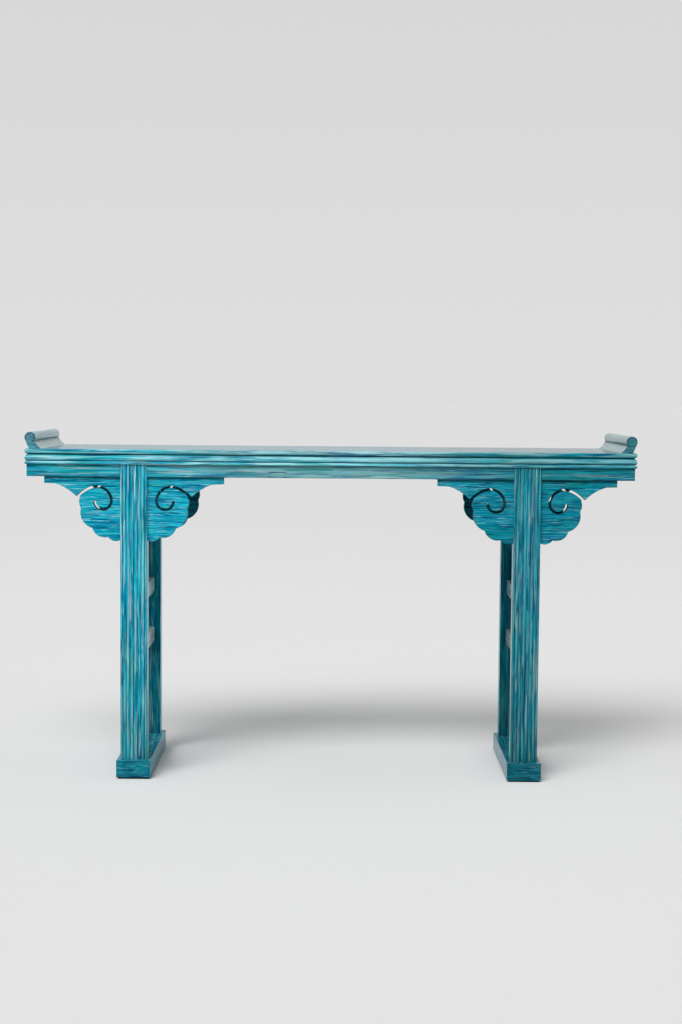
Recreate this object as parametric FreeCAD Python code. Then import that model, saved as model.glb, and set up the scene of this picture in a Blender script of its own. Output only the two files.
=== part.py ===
import FreeCAD, Part
import math
import os

# Altar table with recessed legs: a mitred and moulded top with a floating panel, scrolled flanges at both
# ends, aprons and cloud spandrels clasped by slotted legs, and runner feet.
# Millimetres. X runs along the top, Y from front to back and Z up. The origin is on the floor, midway
# between the ends and midway between front and back.

Vector = FreeCAD.Vector

# The whole table
top_length = 1600.0
top_depth = 380.0
top_height = 870.0

# Play in the joints, and how far a cutter runs past a face that it opens
fit_gap = 0.2
cut_over = 2.0

# Moulded rails round the top: three beads, each with its height and the place of its crest, and the depths
# from the outline of the top, on which the crests lie, to the ends of their rounds
rail_height = 40.0
rail_width = 85.0
bead_heights = (14.0, 17.0)
crest_shares = (0.34, 0.6, 0.65)
top_edge_round = 3.0
upper_groove_depth = 8.0
lower_groove_depth = 5.8
under_edge_round = 3.0

# Tenons that cross the mitres of the rails
mitre_tenon_height = 12.0
mitre_tenon_inset = 42.0
mitre_tenon_width = 28.0
mitre_tenon_cover = 15.0

# Floating panel and the battens under it
panel_thick = 14.0
panel_lip = 4.0
panel_tongue_thick = 6.0
panel_tongue_reach = 10.0
batten_count = 4
batten_width = 45.0
batten_rise = 1.0
batten_tenon_length = 22.0
batten_tenon_height = 12.0
batten_tenon_width = 30.0
batten_key_height = 5.0
batten_key_base = 18.0
batten_key_top = 24.0
batten_key_end = 14.0

# Scrolled flange at each end, with its sizes measured from the outline of the top
flange_rise = 44.0
flange_roll_radius = 14.3
flange_heel = 11.0
flange_toe = 43.5
flange_neck_drop = 9.0
flange_end_inset = 3.0
flange_tongue_thick = 8.0
flange_tongue_depth = 8.0
flange_cove_share = 0.06

# Aprons under the rails
apron_height = 32.0
apron_inset = 7.5
apron_end_inset = 4.0
apron_tongue_thick = 6.0
apron_tongue_height = 5.0

# Legs. The overhang is from the end of the top to the outer side of a leg.
leg_overhang = 248.7
leg_width = 71.0
leg_depth = 36.0
leg_inset = 5.0
leg_corner_radius = 3.0
reed_count = 6
reed_depth = 2.0
leg_edge_bead = 6.4
leg_top_tenon_thick = 5.0
leg_top_tenon_width = 46.0
leg_top_tenon_height = 14.0
leg_foot_tenon_thick = 18.0
leg_foot_tenon_width = 42.0
leg_foot_tenon_height = 28.0

# Spandrels: the reach is along the apron from the side of the leg, the drop is down the leg
spandrel_thick = 16.0
spandrel_reach = 200.0
spandrel_drop = 169.5
spandrel_tongue_thick = 5.0
spandrel_tongue_height = 6.0
curl_width = 6.0
curl_mouth_run = 14.0

# Stretchers between the front and the back leg, by the height of their lower edges above the floor
stretcher_lows = (316.0, 457.0)
stretcher_height = 41.0
stretcher_width = 36.0
stretcher_edge_radius = 2.0
stretcher_tenon_length = 22.0
stretcher_tenon_thick = 12.0
stretcher_tenon_height = 29.0

# Runner feet and their pads
foot_width = 90.0
foot_length = 402.0
foot_height = 45.5
foot_edge_radius = 2.5
pad_thick = 4.8
pad_inset = 5.0
pad_length = 96.0

# Outline of a spandrel in shares of its reach and its drop, from the outer end to the leg. The tail is a
# straight end and a step, an arc runs in to the tip of the tongue, and four lobes make the cloud. Each
# lobe is a point on its round and its last point.
tail_end_share = (1.0, 0.106)
tail_step_share = (0.85, 0.112)
tongue_shares = ((0.714, 0.183), (0.587, 0.301))
cloud_start_share = (0.5285, 0.314)
lobe_shares = (
    ((0.5435, 0.385), (0.5195, 0.488)),
    ((0.4925, 0.696), (0.3695, 0.8)),
    ((0.305, 0.911), (0.164, 0.9375)),
    ((0.09, 0.997), (0.0, 0.985)),
)

# Middle line of the pierced curl in the same shares: its mouth under the tongue, the point that it aims at
# there, and the ends of the arcs that follow, each of which runs on smoothly from the one before
curl_mouth_share = (0.557, 0.306)
curl_aim_share = (0.457, 0.177)
curl_shares = ((0.3735, 0.1645), (0.1935, 0.2), (0.1187, 0.3575), (0.2053, 0.504), (0.339, 0.3905))

# Levels and planes that several pieces share
half_length = top_length / 2
half_depth = top_depth / 2
inner_length = top_length - 2 * rail_width
inner_depth = top_depth - 2 * rail_width
rail_low = top_height - rail_height
apron_low = rail_low - apron_height
foot_low = pad_thick
foot_high = foot_low + foot_height
leg_x = half_length - leg_overhang - leg_width / 2
leg_y = -half_depth + leg_inset + leg_depth / 2
leg_front = leg_y - leg_depth / 2
leg_back = leg_y + leg_depth / 2
board_front = leg_y - spandrel_thick / 2
board_back = leg_y + spandrel_thick / 2
apron_front_face = -half_depth + apron_inset
apron_thick = board_back - apron_front_face
spandrel_low = apron_low - lobe_shares[-1][-1][1] * spandrel_drop


def block(low_x, high_x, low_y, high_y, low_z, high_z):
    """A block between two limits on each axis."""
    size = (high_x - low_x, high_y - low_y, high_z - low_z)
    return Part.makeBox(*size, Vector(low_x, low_y, low_z))


def centred_block(x, y, width, depth, low_z, high_z):
    """A block with the middle of its plan at x, y."""
    return block(x - width / 2, x + width / 2, y - depth / 2, y + depth / 2, low_z, high_z)


def line(start, end):
    """A straight edge."""
    return Part.LineSegment(start, end).toShape()


def arc(start, middle, end):
    """A round edge through three points."""
    return Part.Arc(start, middle, end).toShape()


def prism(edges, run):
    """The solid that a closed outline sweeps along a straight run."""
    return Part.Face(Part.Wire(edges)).extrude(run)


def polygon(points, run):
    """A prism on a straight-sided outline."""
    ring = list(points) + [points[0]]
    return prism([line(a, b) for a, b in zip(ring, ring[1:])], run)


def mirror_x(shape):
    """The same piece on the other side of the table's middle."""
    return shape.mirror(Vector(0, 0, 0), Vector(1, 0, 0))


def mirror_y(shape):
    """The same piece at the back of the table."""
    return shape.mirror(Vector(0, 0, 0), Vector(0, 1, 0))


def crest_arc(crest, end, outward):
    """The round from a crest to a groove, upright at the crest, with outward as the way the bead points."""
    inward = (end - crest).dot(outward * -1)
    rise = end.z - crest.z
    radius = (inward ** 2 + rise ** 2) / (2 * inward)
    turn = math.asin(abs(rise) / radius) / 2
    middle = crest - outward * radius * (1 - math.cos(turn))
    middle.z = crest.z + math.copysign(radius * math.sin(turn), rise)
    return middle


def moulding_edges(corner, outward):
    """The beaded outer edge of a rail, from its upper face down, with corner on the outline of the top."""
    heights = bead_heights + (rail_height - sum(bead_heights),)
    depths = (top_edge_round, upper_groove_depth, lower_groove_depth, under_edge_round)
    edges = []
    level = corner.z
    start = corner - outward * depths[0]
    for height, share, depth in zip(heights, crest_shares, depths[1:]):
        crest = Vector(corner.x, corner.y, level - share * height)
        level -= height
        end = Vector(corner.x, corner.y, level) - outward * depth
        edges.append(arc(start, crest_arc(crest, start, outward), crest))
        edges.append(arc(crest, crest_arc(crest, end, outward), end))
        start = end
    return edges


def rail_bar(corner, outward, run):
    """A straight rail with its moulding, before its ends are mitred."""
    moulding = moulding_edges(corner, outward)
    high_outer = moulding[0].Vertexes[0].Point
    low_outer = moulding[-1].Vertexes[-1].Point
    high_inner = corner - outward * rail_width
    low_inner = Vector(high_inner.x, high_inner.y, rail_low)
    closing = [line(low_outer, low_inner), line(low_inner, high_inner), line(high_inner, high_outer)]
    return prism(moulding + closing, run)


def mitre_plan(inset_x, inset_y, width, along_x, low_z, high_z):
    """The space of one board of a mitred frame: the front one along X, or the right one along Y."""
    outer_x = half_length - inset_x
    outer_y = half_depth - inset_y
    inner_x = outer_x - width
    inner_y = outer_y - width
    if along_x:
        corners = [(-outer_x, -outer_y), (outer_x, -outer_y), (inner_x, -inner_y), (-inner_x, -inner_y)]
    else:
        corners = [(outer_x, -outer_y), (outer_x, outer_y), (inner_x, inner_y), (inner_x, -inner_y)]
    return polygon([Vector(x, y, low_z) for x, y in corners], Vector(0, 0, high_z - low_z))


def panel_solid(play):
    """The floating panel, or with some play the space that its tongue takes in the rails."""
    tongue_high = top_height - panel_lip
    tongue_low = tongue_high - panel_tongue_thick
    tongue = centred_block(
        0, 0,
        inner_length + 2 * (panel_tongue_reach + play),
        inner_depth + 2 * (panel_tongue_reach + play),
        tongue_low - play, tongue_high + play,
    )
    if play:
        return tongue
    board_size = (inner_length - 2 * fit_gap, inner_depth - 2 * fit_gap)
    return tongue.fuse(centred_block(0, 0, *board_size, top_height - panel_thick, top_height))


def mitre_tenon(play):
    """The tenon at the right end of the front rail, or its mortise with some play."""
    low_y = -half_depth + mitre_tenon_inset
    low_z = rail_low + (rail_height - mitre_tenon_height) / 2
    return block(
        half_length - rail_width, half_length - mitre_tenon_cover + play,
        low_y - play, low_y + mitre_tenon_width + play,
        low_z - play, low_z + mitre_tenon_height + play,
    )


def batten_places():
    """Middle of each batten, evenly spaced between the end rails."""
    step = inner_length / (batten_count + 1)
    return [-inner_length / 2 + step * (number + 1) for number in range(batten_count)]


def batten_tenon(x, play):
    """Both tenons of a batten as one bar, or their mortises with some play."""
    reach = inner_depth + 2 * (batten_tenon_length + play)
    low_z = top_height - panel_thick - (rail_height - panel_thick) / 2 - batten_tenon_height / 2
    return centred_block(
        x, 0, batten_tenon_width + 2 * play, reach, low_z - play, low_z + batten_tenon_height + play
    )


def batten_key(x, play):
    """The dovetailed key on top of a batten, or its groove in the panel with some play."""
    half_run = inner_depth / 2 - batten_key_end + play
    low_z = top_height - panel_thick
    high_z = low_z + batten_key_height + play
    half_base = batten_key_base / 2 + play
    half_top = batten_key_top / 2 + play
    corners = [(-half_base, low_z), (half_base, low_z), (half_top, high_z), (-half_top, high_z)]
    return polygon([Vector(x + dx, -half_run, z) for dx, z in corners], Vector(0, 2 * half_run, 0))


def batten(x):
    """A cross batten under the panel, tenoned into the front and back rails."""
    body = centred_block(
        x, 0, batten_width, inner_depth - 2 * fit_gap, rail_low + batten_rise, top_height - panel_thick
    )
    return body.fuse([batten_tenon(x, 0), batten_key(x, 0)])


def top_panel():
    """The floating panel with the grooves for the keys of its battens."""
    return panel_solid(0).cut([batten_key(x, fit_gap) for x in batten_places()])


def flange_tongue(play):
    """The tongue under the right flange, or its groove in the end rail with some play."""
    middle = half_length - (flange_heel + flange_toe) / 2
    run = inner_depth + 2 * play
    width = flange_tongue_thick + 2 * play
    return centred_block(middle, 0, width, run, top_height - flange_tongue_depth - play, top_height)


def flange():
    """The right flange: a heel inside the edge, a roll over the end of the top and a cove on the inside."""
    front = -half_depth + flange_end_inset
    radius = flange_roll_radius
    centre = Vector(half_length - radius, front, top_height + flange_rise - radius)
    heel = Vector(half_length - flange_heel, front, top_height)
    toe = Vector(half_length - flange_toe, front, top_height)
    spoke = centre - heel
    lean = math.asin(radius / spoke.Length) + math.atan2(spoke.x, spoke.z)
    run_up = math.sqrt(spoke.Length ** 2 - radius ** 2)
    meeting = heel + Vector(math.sin(lean), 0, math.cos(lean)) * run_up
    neck_side = math.sqrt(radius ** 2 - flange_neck_drop ** 2)
    neck = centre + Vector(-neck_side, 0, -flange_neck_drop)
    crown = centre + Vector(0, 0, radius)
    cove = toe - neck
    bottom = (neck + toe) / 2 + Vector(cove.z, 0, -cove.x) * -flange_cove_share
    edges = [line(heel, meeting), arc(meeting, crown, neck), arc(neck, bottom, toe), line(toe, heel)]
    body = prism(edges, Vector(0, -2 * front, 0))
    return body.fuse(flange_tongue(0))


def leg_top_tenons(play):
    """The two tenons over the cheeks of the front right leg, or their mortises with some play."""
    cheek = (leg_depth - spandrel_thick) / 2
    tenons = []
    for side in (-1, 1):
        y = leg_y + side * (leg_depth - cheek) / 2
        tenons.append(centred_block(
            leg_x, y, leg_top_tenon_width + 2 * play, leg_top_tenon_thick + 2 * play,
            rail_low, rail_low + leg_top_tenon_height + play,
        ))
    return tenons


def leg_foot_tenon(play):
    """The tenon under the front right leg, or its mortise with some play."""
    return centred_block(
        leg_x, leg_y, leg_foot_tenon_width + 2 * play, leg_foot_tenon_thick + 2 * play,
        foot_high - leg_foot_tenon_height - play, foot_high,
    )


def reed_edges(level):
    """The outer face of the front right leg in plan: a row of reeds between two narrower beads."""
    low_x = leg_x - leg_width / 2
    high_x = leg_x + leg_width / 2
    groove_y = leg_front + reed_depth
    shoulder_y = leg_front + leg_corner_radius
    pitch = (leg_width - 2 * leg_edge_bead) / reed_count
    grooves = []
    for number in range(reed_count + 1):
        grooves.append(Vector(low_x + leg_edge_bead + pitch * number, groove_y, level))
    ends = [Vector(low_x, shoulder_y, level)] + grooves + [Vector(high_x, shoulder_y, level)]
    edges = []
    for start, end in zip(ends, ends[1:]):
        crest = Vector((start.x + end.x) / 2, leg_front, level)
        edges.append(arc(start, crest, end))
    return edges


def leg():
    """The front right leg: reeded, slotted at the top to clasp apron and spandrels, tenoned at both ends."""
    radius = leg_corner_radius
    low_x = leg_x - leg_width / 2
    high_x = leg_x + leg_width / 2
    face = reed_edges(foot_high)
    start = face[0].Vertexes[0].Point
    end = face[-1].Vertexes[-1].Point
    bend = radius * (1 - math.sqrt(1 / 2))
    side_high = Vector(high_x, leg_back - radius, foot_high)
    side_low = Vector(low_x, leg_back - radius, foot_high)
    back_high = Vector(high_x - radius, leg_back, foot_high)
    back_low = Vector(low_x + radius, leg_back, foot_high)
    outline = face + [
        line(end, side_high),
        arc(side_high, Vector(high_x - bend, leg_back - bend, foot_high), back_high),
        line(back_high, back_low),
        arc(back_low, Vector(low_x + bend, leg_back - bend, foot_high), side_low),
        line(side_low, start),
    ]
    body = prism(outline, Vector(0, 0, rail_low - foot_high))
    body = body.fuse(leg_top_tenons(0) + [leg_foot_tenon(0)])
    slot = centred_block(
        leg_x, leg_y, leg_width + 2 * cut_over, spandrel_thick + 2 * fit_gap,
        spandrel_low - fit_gap, rail_low + leg_top_tenon_height + cut_over,
    )
    return body.cut([slot] + [stretcher_tenon(low, fit_gap) for low in stretcher_lows])


def stretcher_tenon(low, play):
    """Both tenons of a right stretcher as one bar, or their mortises with some play."""
    reach = -2 * leg_back + 2 * (stretcher_tenon_length + play)
    middle = low + stretcher_height / 2
    half = stretcher_tenon_height / 2 + play
    return centred_block(leg_x, 0, stretcher_tenon_thick + 2 * play, reach, middle - half, middle + half)


def rounded_bar(width, height, radius, rounds_low, low, start_y, end_y):
    """A bar along Y at the right legs with its upper edges rounded, and its lower ones too if asked."""
    low_x = leg_x - width / 2
    high_x = leg_x + width / 2
    high = low + height
    bend = radius * (1 - math.sqrt(1 / 2))
    edges = [
        line(Vector(high_x, start_y, low + radius), Vector(high_x, start_y, high - radius)),
        arc(Vector(high_x, start_y, high - radius), Vector(high_x - bend, start_y, high - bend),
            Vector(high_x - radius, start_y, high)),
        line(Vector(high_x - radius, start_y, high), Vector(low_x + radius, start_y, high)),
        arc(Vector(low_x + radius, start_y, high), Vector(low_x + bend, start_y, high - bend),
            Vector(low_x, start_y, high - radius)),
        line(Vector(low_x, start_y, high - radius), Vector(low_x, start_y, low + radius)),
    ]
    if rounds_low:
        edges += [
            arc(Vector(low_x, start_y, low + radius), Vector(low_x + bend, start_y, low + bend),
                Vector(low_x + radius, start_y, low)),
            line(Vector(low_x + radius, start_y, low), Vector(high_x - radius, start_y, low)),
            arc(Vector(high_x - radius, start_y, low), Vector(high_x - bend, start_y, low + bend),
                Vector(high_x, start_y, low + radius)),
        ]
    else:
        edges += [
            line(Vector(low_x, start_y, low + radius), Vector(low_x, start_y, low)),
            line(Vector(low_x, start_y, low), Vector(high_x, start_y, low)),
            line(Vector(high_x, start_y, low), Vector(high_x, start_y, low + radius)),
        ]
    return prism(edges, Vector(0, end_y - start_y, 0))


def stretcher(low):
    """A right stretcher between the front and the back leg."""
    section = (stretcher_width, stretcher_height, stretcher_edge_radius)
    bar = rounded_bar(*section, True, low, leg_back, -leg_back)
    return bar.fuse(stretcher_tenon(low, 0))


def foot():
    """The right runner foot with a mortise for each leg."""
    half = foot_length / 2
    bar = rounded_bar(foot_width, foot_height, foot_edge_radius, False, foot_low, -half, half)
    mortise = leg_foot_tenon(fit_gap)
    return bar.cut([mortise, mirror_y(mortise)])


def foot_pad():
    """The pad under the front end of the right foot."""
    y = -foot_length / 2 + pad_inset + pad_length / 2
    return centred_block(leg_x, y, foot_width - 2 * pad_inset, pad_length, 0, pad_thick)


def apron_tongue(along_x, play):
    """The tongue on top of the front or the right apron, or its groove in the rail with some play."""
    half_x = half_length - apron_end_inset - apron_thick
    half_y = half_depth - apron_inset - apron_thick
    width = apron_tongue_thick + 2 * play
    high_z = rail_low + apron_tongue_height + play
    if along_x:
        return centred_block(0, -half_y - spandrel_thick / 2, 2 * (half_x + play), width, rail_low, high_z)
    return centred_block(half_x + spandrel_thick / 2, 0, width, 2 * (half_y + play), rail_low, high_z)


def spandrel_tongue(play):
    """The tongue on top of the outer right spandrel, or its groove in the apron with some play."""
    return block(
        leg_x + fit_gap - play, leg_x + leg_width / 2 + spandrel_reach - spandrel_tongue_height + play,
        leg_y - spandrel_tongue_thick / 2 - play, leg_y + spandrel_tongue_thick / 2 + play,
        apron_low, apron_low + spandrel_tongue_height + play - fit_gap,
    )


def across_leg(shape):
    """The same piece on the other side of the right leg."""
    return shape.mirror(Vector(leg_x, 0, 0), Vector(1, 0, 0))


def front_apron():
    """The front apron, housed on its face for the cheeks of both legs."""
    board = mitre_plan(apron_end_inset, apron_inset, apron_thick, True, apron_low, rail_low)
    board = board.fuse(apron_tongue(True, 0))
    housing = block(
        leg_x - leg_width / 2 - fit_gap, leg_x + leg_width / 2 + fit_gap,
        -half_depth, board_front - fit_gap / 2, apron_low - cut_over, rail_low,
    )
    groove = spandrel_tongue(fit_gap)
    cuts = [housing, groove, across_leg(groove)]
    return board.cut(cuts + [mirror_x(cut) for cut in cuts])


def end_apron():
    """The apron across the right end."""
    board = mitre_plan(apron_end_inset, apron_inset, apron_thick, False, apron_low, rail_low)
    return board.fuse(apron_tongue(False, 0))


def front_rail():
    """The front rail: mitred, with a tenon across each mitre and the mortises of battens and legs."""
    corner = Vector(-half_length, -half_depth, top_height)
    bar = rail_bar(corner, Vector(0, -1, 0), Vector(top_length, 0, 0))
    bar = bar.common(mitre_plan(0, 0, rail_width, True, rail_low, top_height))
    tenon = mitre_tenon(0)
    bar = bar.fuse([tenon, mirror_x(tenon)])
    mortises = leg_top_tenons(fit_gap)
    cuts = [panel_solid(fit_gap), apron_tongue(True, fit_gap)] + mortises
    cuts += [mirror_x(mortise) for mortise in mortises]
    cuts += [batten_tenon(x, fit_gap) for x in batten_places()]
    return bar.cut(cuts)


def end_rail():
    """The right end rail: mitred, with the mortises of the long rails and the groove of the flange."""
    corner = Vector(half_length, -half_depth, top_height)
    bar = rail_bar(corner, Vector(1, 0, 0), Vector(0, top_depth, 0))
    bar = bar.common(mitre_plan(0, 0, rail_width, False, rail_low, top_height))
    mortise = mitre_tenon(fit_gap)
    cuts = [panel_solid(fit_gap), apron_tongue(False, fit_gap), flange_tongue(fit_gap)]
    return bar.cut(cuts + [mortise, mirror_y(mortise)])


def spandrel_point(shares):
    """A point of the outer right spandrel from its shares of reach and drop."""
    x = leg_x + leg_width / 2 + shares[0] * spandrel_reach
    return Vector(x, board_front, apron_low - shares[1] * spandrel_drop)


def smooth_stations(points, aim):
    """The start, middle and end of each arc of a smooth line through some points, with the heading there."""
    heading = (aim - points[0]).normalize()
    stations = [(points[0], heading)]
    for start, end in zip(points, points[1:]):
        chord = end - start
        straight = Vector(chord).normalize()
        lean = straight.dot(heading)
        rise = (heading - straight * lean) * (chord.Length / (2 * (1 + lean)))
        heading = straight * (2 * lean) - heading
        stations += [((start + end) / 2 + rise, straight), (end, heading)]
    return stations


def curl_cutter():
    """The pierced curl: a slot of even width along a smooth line, open at its mouth, round at its end."""
    points = [spandrel_point(shares) for shares in (curl_mouth_share,) + curl_shares]
    stations = smooth_stations(points, spandrel_point(curl_aim_share))
    half_width = curl_width / 2
    sides = []
    for side in (1, -1):
        offsets = [(place, Vector(-heading.z, 0, heading.x)) for place, heading in stations]
        sides.append([place + across * (side * half_width) for place, across in offsets])
    tip, last_heading = stations[-1]
    back_out = stations[0][1] * -curl_mouth_run
    mouth = [side[0] + back_out for side in sides]
    edges = [line(mouth[1], mouth[0]), line(mouth[0], sides[0][0])]
    edges += [arc(*sides[0][place:place + 3]) for place in range(0, len(stations) - 1, 2)]
    edges.append(arc(sides[0][-1], tip + last_heading * half_width, sides[1][-1]))
    edges += [arc(*sides[1][place:place + 3]) for place in range(0, len(stations) - 1, 2)]
    edges.append(line(sides[1][0], mouth[1]))
    cutter = prism(Part.__sortEdges__(edges), Vector(0, spandrel_thick + 2 * cut_over, 0))
    cutter.translate(Vector(0, -cut_over, 0))
    return cutter


def spandrel():
    """The outer right spandrel at the front, from the middle of the leg's slot to its outer end."""
    start = Vector(leg_x + fit_gap, board_front, apron_low)
    tail = [spandrel_point(shares) for shares in ((1, 0), tail_end_share, tail_step_share)]
    tongue = [spandrel_point(shares) for shares in tongue_shares]
    cloud = spandrel_point(cloud_start_share)
    edges = [
        line(start, tail[0]),
        line(tail[0], tail[1]),
        line(tail[1], tail[2]),
        arc(tail[2], tongue[0], tongue[1]),
        line(tongue[1], cloud),
    ]
    for on_round, last in lobe_shares:
        end = spandrel_point(last)
        edges.append(arc(cloud, spandrel_point(on_round), end))
        cloud = end
    corner = Vector(start.x, board_front, cloud.z)
    edges += [line(cloud, corner), line(corner, start)]
    board = prism(edges, Vector(0, spandrel_thick, 0))
    return board.cut(curl_cutter()).fuse(spandrel_tongue(0))


def four_ways(name, shape):
    """A piece at the front right and its likes at the other three legs, by name."""
    return {
        name.format("front", "right"): shape,
        name.format("front", "left"): mirror_x(shape),
        name.format("back", "right"): mirror_y(shape),
        name.format("back", "left"): mirror_x(mirror_y(shape)),
    }


def all_pieces():
    """Every piece of the table by its name."""
    long_rail = front_rail()
    side_rail = end_rail()
    long_apron = front_apron()
    side_apron = end_apron()
    scroll = flange()
    runner = foot()
    outer_spandrel = spandrel()
    pieces = {
        "top_rail_front": long_rail,
        "top_rail_back": mirror_y(long_rail),
        "top_end_right": side_rail,
        "top_end_left": mirror_x(side_rail),
        "top_panel": top_panel(),
        "flange_right": scroll,
        "flange_left": mirror_x(scroll),
        "apron_front": long_apron,
        "apron_back": mirror_y(long_apron),
        "apron_end_right": side_apron,
        "apron_end_left": mirror_x(side_apron),
        "foot_right": runner,
        "foot_left": mirror_x(runner),
    }
    for number, x in enumerate(batten_places()):
        pieces["batten_" + str(number + 1)] = batten(x)
    pieces.update(four_ways("leg_{}_{}", leg()))
    pieces.update(four_ways("spandrel_{}_{}_outer", outer_spandrel))
    pieces.update(four_ways("spandrel_{}_{}_inner", across_leg(outer_spandrel)))
    pieces.update(four_ways("foot_pad_{}_{}", foot_pad()))
    for level, low in zip(("lower", "upper"), stretcher_lows):
        bar = stretcher(low)
        pieces["stretcher_right_" + level] = bar
        pieces["stretcher_left_" + level] = mirror_x(bar)
    return pieces


def main():
    os.makedirs("parts", exist_ok=True)
    for name, shape in all_pieces().items():
        shape = shape.removeSplitter()
        print(name, len(shape.Solids), round(shape.Volume), shape.isValid())
        shape.exportStep("parts/" + name + ".step")


main()
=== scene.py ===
import math

import bmesh
import bpy
from bpy.props import FloatProperty, FloatVectorProperty, IntProperty, PointerProperty
from mathutils import Matrix, Vector
from mathutils.geometry import intersect_line_line


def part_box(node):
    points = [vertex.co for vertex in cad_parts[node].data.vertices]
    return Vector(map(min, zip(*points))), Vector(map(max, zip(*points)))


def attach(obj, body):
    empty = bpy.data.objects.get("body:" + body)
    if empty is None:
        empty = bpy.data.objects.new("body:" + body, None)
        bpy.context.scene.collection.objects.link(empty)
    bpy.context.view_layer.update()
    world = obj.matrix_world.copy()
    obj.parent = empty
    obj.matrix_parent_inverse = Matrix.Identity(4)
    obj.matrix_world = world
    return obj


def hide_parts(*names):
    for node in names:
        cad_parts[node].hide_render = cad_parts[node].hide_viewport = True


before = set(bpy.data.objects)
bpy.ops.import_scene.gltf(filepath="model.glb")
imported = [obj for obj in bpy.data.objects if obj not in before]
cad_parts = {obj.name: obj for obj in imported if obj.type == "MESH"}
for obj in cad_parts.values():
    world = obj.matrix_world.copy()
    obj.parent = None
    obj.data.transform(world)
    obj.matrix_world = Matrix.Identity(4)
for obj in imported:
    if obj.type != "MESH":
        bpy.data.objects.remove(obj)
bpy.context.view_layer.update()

bl_info = {
    "name": "Altar Table",
    "version": (1, 0, 0),
    "blender": (4, 5, 0),
    "location": "View3D > Sidebar > Altar Table",
    "description": "Models the moulded, reeded and pierced pieces of an altar table in brushed paint",
    "category": "Object",
}

# Boxes of the nodes that the pieces take their places from
RAIL_LOW, RAIL_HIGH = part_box("top_rail_front")
PANEL_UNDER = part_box("top_panel")[0].z
LEG_LOW, LEG_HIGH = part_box("leg_front_right")
FOOT_LOW, FOOT_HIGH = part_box("foot_right")
APRON_LOW, APRON_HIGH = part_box("apron_front")
SPANDREL_LOW, SPANDREL_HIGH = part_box("spandrel_front_right_outer")
FLANGE_LOW, FLANGE_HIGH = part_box("flange_right")

HALF_LENGTH = RAIL_HIGH.x
HALF_DEPTH = -RAIL_LOW.y
TOP = RAIL_HIGH.z
RAIL_UNDER = RAIL_LOW.z
RAIL_WIDTH = HALF_DEPTH + RAIL_HIGH.y
APRON_UNDER = APRON_LOW.z
LEG_X = (LEG_LOW.x + LEG_HIGH.x) / 2
LEG_FRONT = LEG_LOW.y
LEG_BACK = LEG_HIGH.y
FOOT_TOP = FOOT_HIGH.z
BOARD_FRONT = SPANDREL_LOW.y
BOARD_BACK = SPANDREL_HIGH.y
BOARD_UNDER = SPANDREL_LOW.z

ALONG_X = Vector((1, 0, 0))
ALONG_Y = Vector((0, 1, 0))
ALONG_Z = Vector((0, 0, 1))
ARC_STEP = math.radians(7)
SHARP_ANGLE = math.radians(38)
SAME_PLACE = 1e-5

# How far a face or an edge has to point along an axis
MOSTLY = 0.8
NEARLY = 0.99
STRAIGHT = 0.999

# Outline of a spandrel in shares of its reach and its drop: a tail with a step, a tongue, and the lobes of
# the cloud, each by a point on its round and its last point
TAIL_SHARES = ((1.0, 0.0), (1.0, 0.106), (0.85, 0.112))
TONGUE_SHARES = ((0.714, 0.183), (0.587, 0.301))
CLOUD_SHARE = (0.5285, 0.314)
LOBE_SHARES = (
    ((0.5435, 0.385), (0.5195, 0.488)),
    ((0.4925, 0.696), (0.3695, 0.8)),
    ((0.305, 0.911), (0.164, 0.9375)),
    ((0.09, 0.997), (0.0, 0.985)),
)

# Middle line of the pierced curl in the same shares: its mouth, the point it aims at and the ends of its arcs
CURL_MOUTH_SHARE = (0.557, 0.306)
CURL_AIM_SHARE = (0.457, 0.177)
CURL_SHARES = ((0.3735, 0.1645), (0.1935, 0.2), (0.1187, 0.3575), (0.2053, 0.504), (0.339, 0.3905))

# Points along each arc of the curl from which the painted shade of its walls is measured
CURL_STOP_SHARES = (0.0, 0.2, 0.4, 0.6, 0.8, 1.0)

# How far down each bead of the moulding its crest lies, and the hollow of a flange's cove by its chord
CREST_SHARES = (0.34, 0.6, 0.65)
COVE_SHARE = 0.06

CORNERS = (
    ("front", "right", 1, 1),
    ("front", "left", -1, 1),
    ("back", "right", 1, -1),
    ("back", "left", -1, -1),
)

# Most glaze and painted shade in the grooves of the moulding and between reeds; most painted shade under the
# crests, on cut edges and in the crease under a roll; most painted shadow of the aprons on the spandrels
GROOVE_GLAZE_AND_SHADE = 0.75
UNDER_CREST_SHADE = 0.35
REED_GLAZE_AND_SHADE = 0.68
EDGE_SHADE = 0.6
APRON_SHADOW = 0.7
CREASE_SHADE = 0.7

# Streaks of the paint: their number to a metre along and across, their detail and their shift
STREAKS = {
    "broad": (2.2, 50.0, 3.0, 3.1),
    "middle": (8.0, 240.0, 4.0, 11.7),
    "bristle": (24.0, 800.0, 3.0, 23.9),
    "patch": (6.0, 18.0, 2.0, 31.3),
    "dark": (9.0, 330.0, 3.0, 47.2),
    "pale": (5.0, 150.0, 4.0, 71.8),
    "light": (11.0, 310.0, 4.0, 59.6),
    "wear_and_sheen": (2.0, 60.0, 3.0, 97.3),
    "dry_brush_and_highlight": (9.0, 130.0, 4.0, 83.4),
}

# Scale and swing of each wander of the strokes, and the depth of the marks of the brush
WANDERS = ((5.0, 0.003), (45.0, 0.0005))
BRUSH_DEPTH = 0.0003

# Reach of the worn middle from the middle of the table, drops of the painted highlight along the top edge,
# and reaches of the painted shade toward the right end and toward the floor
WORN_REACH = (0.55, 0.1)
EDGE_DROPS = (0.014, 0.006)
END_SHADE_REACH = 0.5
LOW_SHADE_REACH = 0.7

# Refraction of plain and of waxed paint, and the distances over which the floor changes colour
PLAIN_GLOSS = 1.17
WAXED_GLOSS = 1.4
FLOOR_REACH = (0.5, 9.0)


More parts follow.
